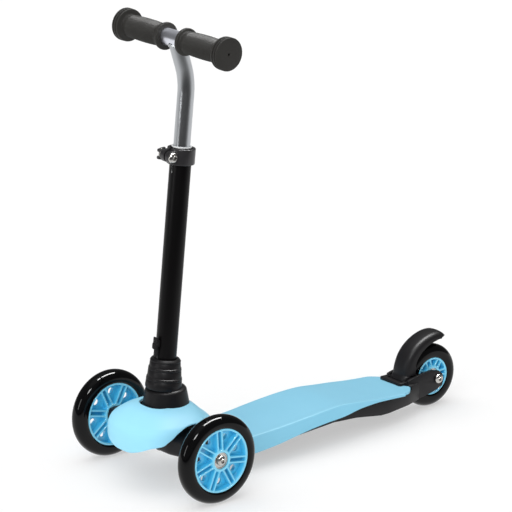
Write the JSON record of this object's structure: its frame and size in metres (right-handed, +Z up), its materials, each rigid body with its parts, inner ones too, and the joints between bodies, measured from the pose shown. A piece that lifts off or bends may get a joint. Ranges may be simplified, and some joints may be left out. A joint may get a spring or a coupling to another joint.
{
  "type": "kids scooter",
  "caption": "Child's lean-to-steer kick scooter with paired front wheels, height-adjustable T-bar, quick clamp and rear fender brake.",
  "frame": {"origin": "on the ground, under the middle of the part's bounding box", "axes": "+Z up, -Y towards the front of the scooter, +X to the rider's left"},
  "size_m": [0.2596, 0.581, 0.6142],
  "materials": {
    "tyre": "gloss cast polyurethane, near black",
    "hub": "tinted gloss plastic, light blue",
    "deck": "fine-grained moulded plastic, light blue",
    "hood": "satin moulded plastic, light blue",
    "frame": "fine-textured moulded plastic, charcoal",
    "clamp": "satin moulded plastic, black",
    "grip": "matt soft rubber, black",
    "bushing": "matt rubber",
    "column": "gloss black paint on steel tube",
    "bar": "satin bright plated steel tube",
    "steel": "zinc-plated steel",
    "sleeve": "natural white moulded plastic"
  },
  "bodies": {
    "chassis": {"chassis_frame": "frame", "deck_top": "deck", "deck_screw_1": "steel", "deck_screw_2": "steel", "deck_screw_3": "steel", "deck_screw_4": "steel", "front_cover": "hood", "cover_screw_left": "steel", "cover_screw_right": "steel", "stem_boot": "frame", "stem_collar": "frame", "kingpin": "steel", "kingpin_nut": "steel", "kingpin_washer_upper": "steel", "kingpin_washer_lower": "steel", "steering_bushing_upper": "bushing", "steering_bushing_lower": "bushing", "rear_axle_bolt": "steel", "rear_axle_nut": "steel", "rear_spacer_left": "steel", "rear_spacer_right": "steel", "brake_pin": "steel", "brake_spring": "steel"},
    "truck": {"truck_beam": "frame", "front_axle_bolt_left": "steel", "front_axle_bolt_right": "steel", "front_axle_nut_left": "steel", "front_axle_nut_right": "steel", "front_spacer_left": "steel", "front_spacer_right": "steel"},
    "wheel_front_left": {"tyre_front_left": "tyre", "hub_front_left": "hub", "bearing_front_left_a": "steel", "bearing_front_left_b": "steel", "sleeve_front_left": "steel"},
    "wheel_front_right": {"tyre_front_right": "tyre", "hub_front_right": "hub", "bearing_front_right_a": "steel", "bearing_front_right_b": "steel", "sleeve_front_right": "steel"},
    "wheel_rear": {"tyre_rear": "tyre", "hub_rear": "hub", "bearing_rear_a": "steel", "bearing_rear_b": "steel", "sleeve_rear": "steel"},
    "column": {"lower_column": "column", "height_sleeve": "sleeve", "clamp_collar": "clamp", "clamp_bolt": "steel", "clamp_barrel": "steel", "latch_leaf": "steel"},
    "clamp_lever": {"clamp_lever": "clamp"},
    "release_button": {"release_button": "clamp"},
    "t_bar": {"upper_stem": "bar", "crossbar": "bar", "grip_left": "grip", "grip_right": "grip"},
    "brake_fender": {"brake_fender": "frame"}
  },
  "joints": [
    {"name": "steer", "type": "hinge", "parent": "chassis", "child": "truck", "pos_m": [0, -0.2195, 0.06], "axis": [0, -0.5736, 0.8192], "range_deg": [-12, 12], "stiffness_Nm_per_rad": 60},
    {"name": "wheel_front_left_spin", "type": "hinge", "parent": "truck", "child": "wheel_front_left", "pos_m": [0.116, -0.2215, 0.06], "axis": [1, 0, 0], "continuous": true},
    {"name": "wheel_front_right_spin", "type": "hinge", "parent": "truck", "child": "wheel_front_right", "pos_m": [-0.116, -0.2215, 0.06], "axis": [1, 0, 0], "continuous": true},
    {"name": "wheel_rear_spin", "type": "hinge", "parent": "chassis", "child": "wheel_rear", "pos_m": [0, 0.2455, 0.045], "axis": [1, 0, 0], "continuous": true},
    {"name": "column_lift_out", "type": "slide", "parent": "chassis", "child": "column", "axis": [0, 0.1019, 0.9948], "range_m": [0, 0.08]},
    {"name": "bar_height", "type": "slide", "parent": "column", "child": "t_bar", "axis": [0, 0.1019, 0.9948], "range_m": [-0.07, 0.06]},
    {"name": "clamp_lever_open", "type": "hinge", "parent": "column", "child": "clamp_lever", "pos_m": [-0.015, -0.20846, 0.43922], "axis": [0, 0.1019, 0.9948], "range_deg": [0, 110]},
    {"name": "release_button_press", "type": "slide", "parent": "column", "child": "release_button", "axis": [0, 0.9948, -0.1019], "range_m": [0, 0.002], "stiffness_N_per_m": 600, "springref_m": -0.001},
    {"name": "brake_press", "type": "hinge", "parent": "chassis", "child": "brake_fender", "pos_m": [0, 0.1915, 0.046], "axis": [-1, 0, 0], "range_deg": [0, 10], "stiffness_Nm_per_rad": 2, "springref_deg": -2.86}
  ]
}
